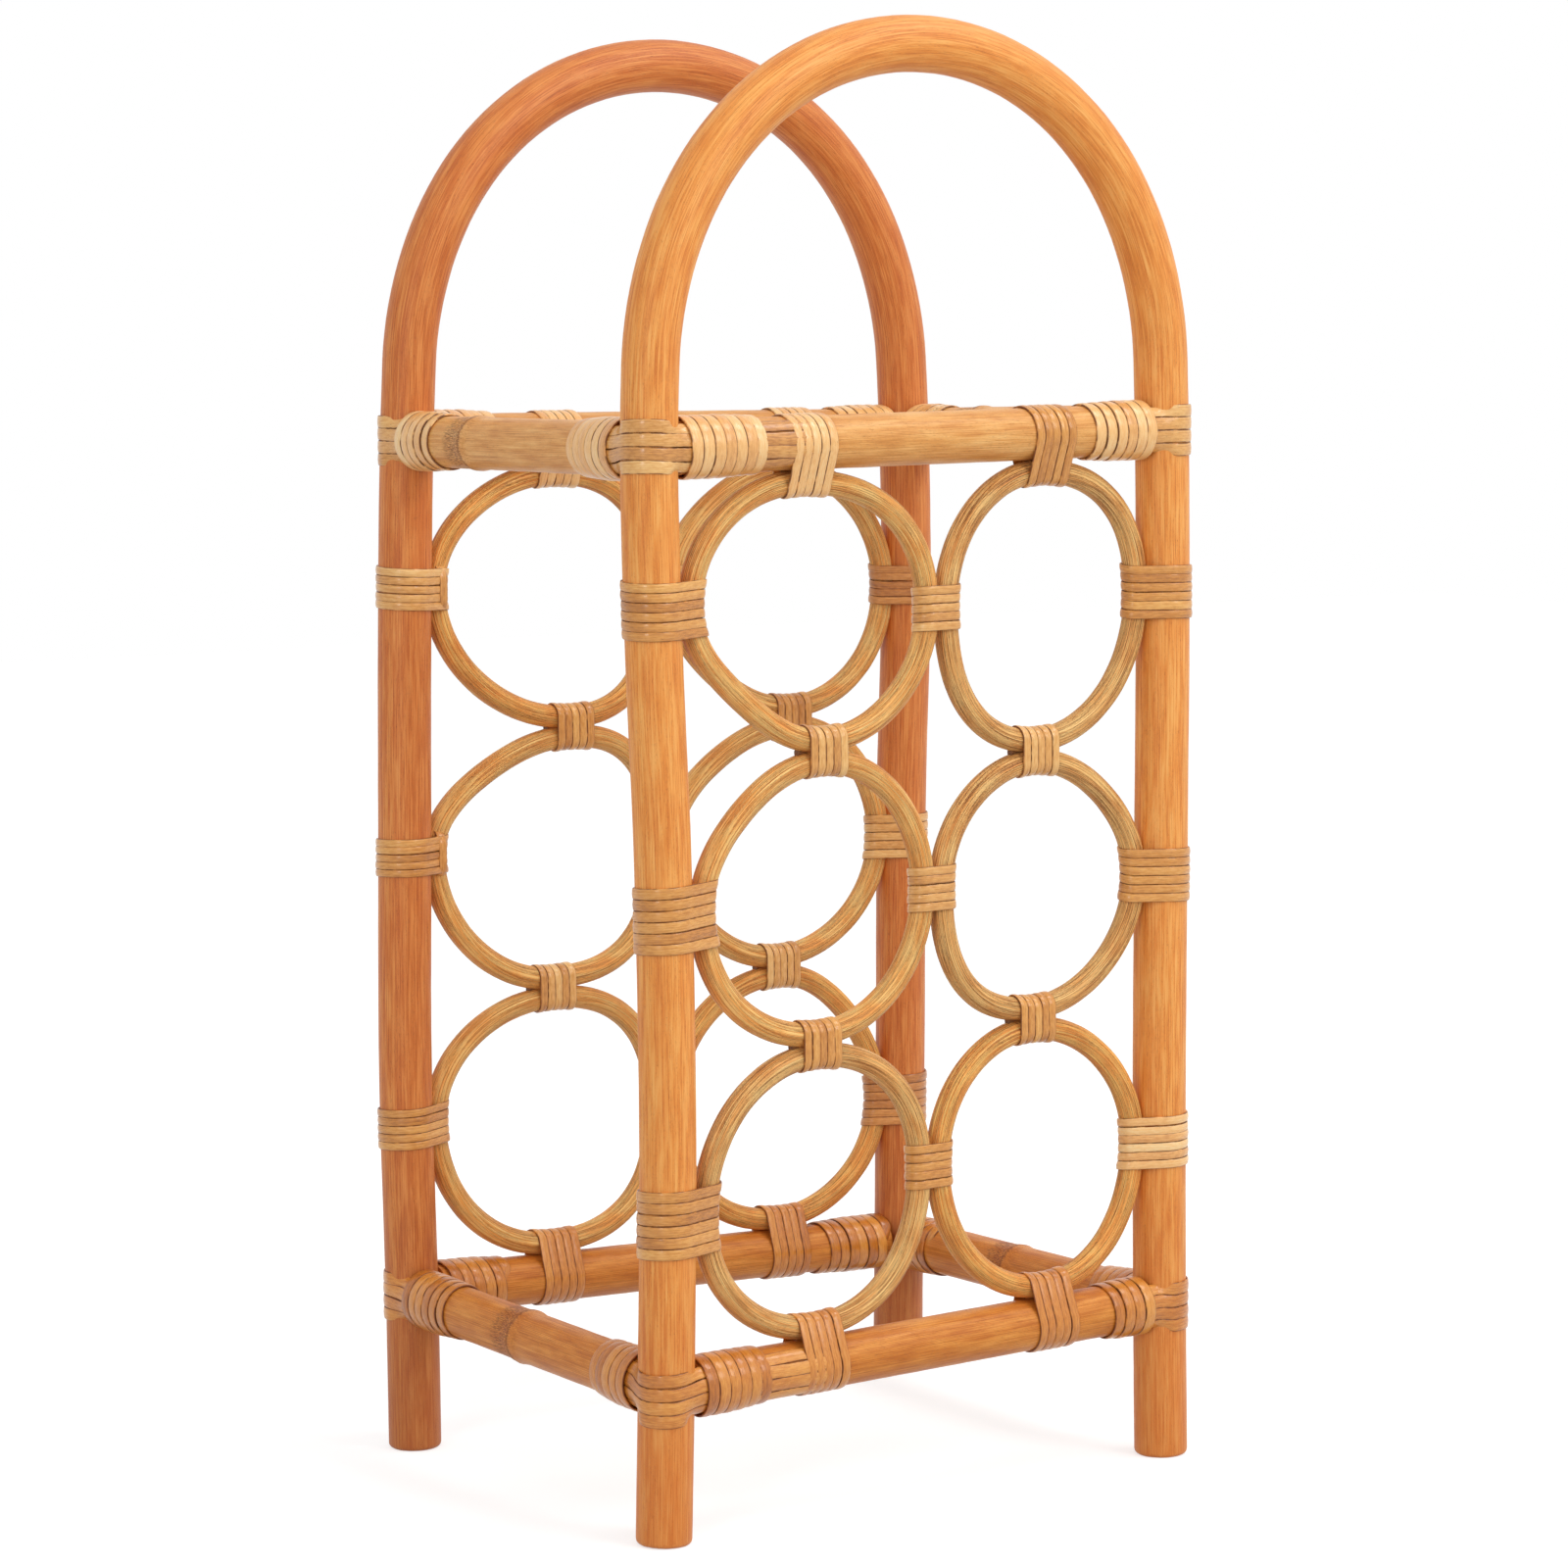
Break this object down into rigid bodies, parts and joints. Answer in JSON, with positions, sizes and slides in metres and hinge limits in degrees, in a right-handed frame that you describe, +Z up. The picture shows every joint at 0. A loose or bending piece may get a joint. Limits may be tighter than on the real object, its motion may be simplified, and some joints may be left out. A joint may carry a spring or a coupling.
{
  "type": "bottle rack",
  "caption": "Free-standing rattan bottle rack: two bent arch poles joined by rails, with lashed cane rings that hold bottles lying down.",
  "frame": {"origin": "on the floor, midway between the four feet", "axes": "+Z up, +X to the right along the front panel, +Y from the front panel to the back panel"},
  "size_m": [0.2626, 0.2071, 0.5612],
  "materials": {
    "pole": "satin skin of a rattan pole, fine lengthwise grain",
    "rail": "satin skin of a rattan pole, paler",
    "ring": "peeled core cane, ribbed lengthwise and nearly matt",
    "cane": "flat cane strip with a glossy skin"
  },
  "bodies": {
    "root": {"arch_pole_front": "pole", "arch_pole_back": "pole", "rail_bottom_front": "rail", "rail_bottom_back": "rail", "rail_bottom_left": "rail", "rail_bottom_right": "rail", "rail_top_front": "rail", "rail_top_back": "rail", "rail_top_left": "rail", "rail_top_right": "rail", "bottle_ring_front_left_bottom": "ring", "bottle_ring_front_left_middle": "ring", "bottle_ring_front_left_top": "ring", "bottle_ring_front_right_bottom": "ring", "bottle_ring_front_right_middle": "ring", "bottle_ring_front_right_top": "ring", "bottle_ring_back_left_bottom": "ring", "bottle_ring_back_left_middle": "ring", "bottle_ring_back_left_top": "ring", "bottle_ring_back_right_bottom": "ring", "bottle_ring_back_right_middle": "ring", "bottle_ring_back_right_top": "ring", "lashing_leg_front_left_bottom": "cane", "lashing_leg_front_left_middle": "cane", "lashing_leg_front_left_top": "cane", "lashing_leg_front_right_bottom": "cane", "lashing_leg_front_right_middle": "cane", "lashing_leg_front_right_top": "cane", "lashing_leg_back_left_bottom": "cane", "lashing_leg_back_left_middle": "cane", "lashing_leg_back_left_top": "cane", "lashing_leg_back_right_bottom": "cane", "lashing_leg_back_right_middle": "cane", "lashing_leg_back_right_top": "cane", "lashing_rail_bottom_front_left": "cane", "lashing_rail_bottom_front_right": "cane", "lashing_rail_bottom_back_left": "cane", "lashing_rail_bottom_back_right": "cane", "lashing_rail_top_front_left": "cane", "lashing_rail_top_front_right": "cane", "lashing_rail_top_back_left": "cane", "lashing_rail_top_back_right": "cane", "lashing_rings_lower_front_left": "cane", "lashing_rings_lower_front_right": "cane", "lashing_rings_lower_back_left": "cane", "lashing_rings_lower_back_right": "cane", "lashing_rings_upper_front_left": "cane", "lashing_rings_upper_front_right": "cane", "lashing_rings_upper_back_left": "cane", "lashing_rings_upper_back_right": "cane", "corner_lashing_front_left_bottom": "cane", "corner_lashing_front_left_top": "cane", "corner_lashing_front_right_bottom": "cane", "corner_lashing_front_right_top": "cane", "corner_lashing_back_left_bottom": "cane", "corner_lashing_back_left_top": "cane", "corner_lashing_back_right_bottom": "cane", "corner_lashing_back_right_top": "cane"}
  },
  "joints": []
}
